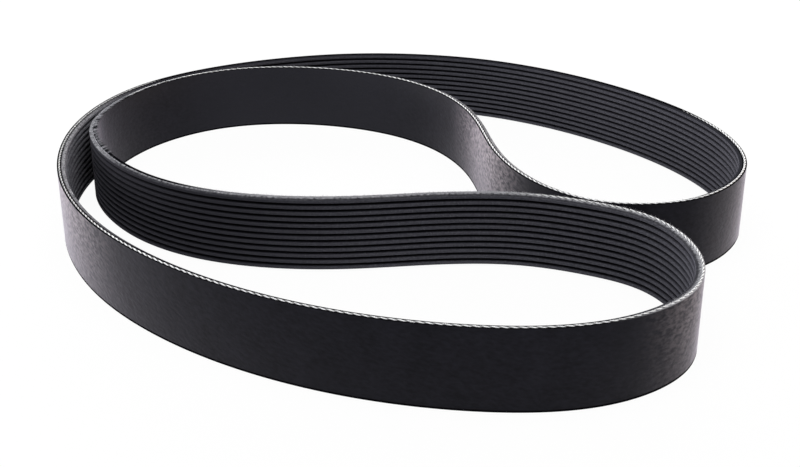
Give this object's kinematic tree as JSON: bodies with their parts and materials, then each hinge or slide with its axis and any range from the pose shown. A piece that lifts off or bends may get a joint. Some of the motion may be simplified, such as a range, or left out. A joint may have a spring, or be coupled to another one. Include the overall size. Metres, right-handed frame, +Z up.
{
  "type": "serpentine belt",
  "caption": "Endless ribbed rubber drive belt standing on its cut edge in a loose double loop, smooth back outside, vee ribs inside.",
  "frame": {"origin": "on the ground, under the middle of the outline that the belt makes as it stands on its cut edge", "axes": "+Z up, across the belt's width; +X to the right and +Y away from the viewer of the picture"},
  "size_m": [0.4056, 0.4256, 0.0427],
  "materials": {
    "belt_rubber": "satin"
  },
  "bodies": {
    "root": {"serpentine_belt": "belt_rubber"}
  },
  "joints": []
}
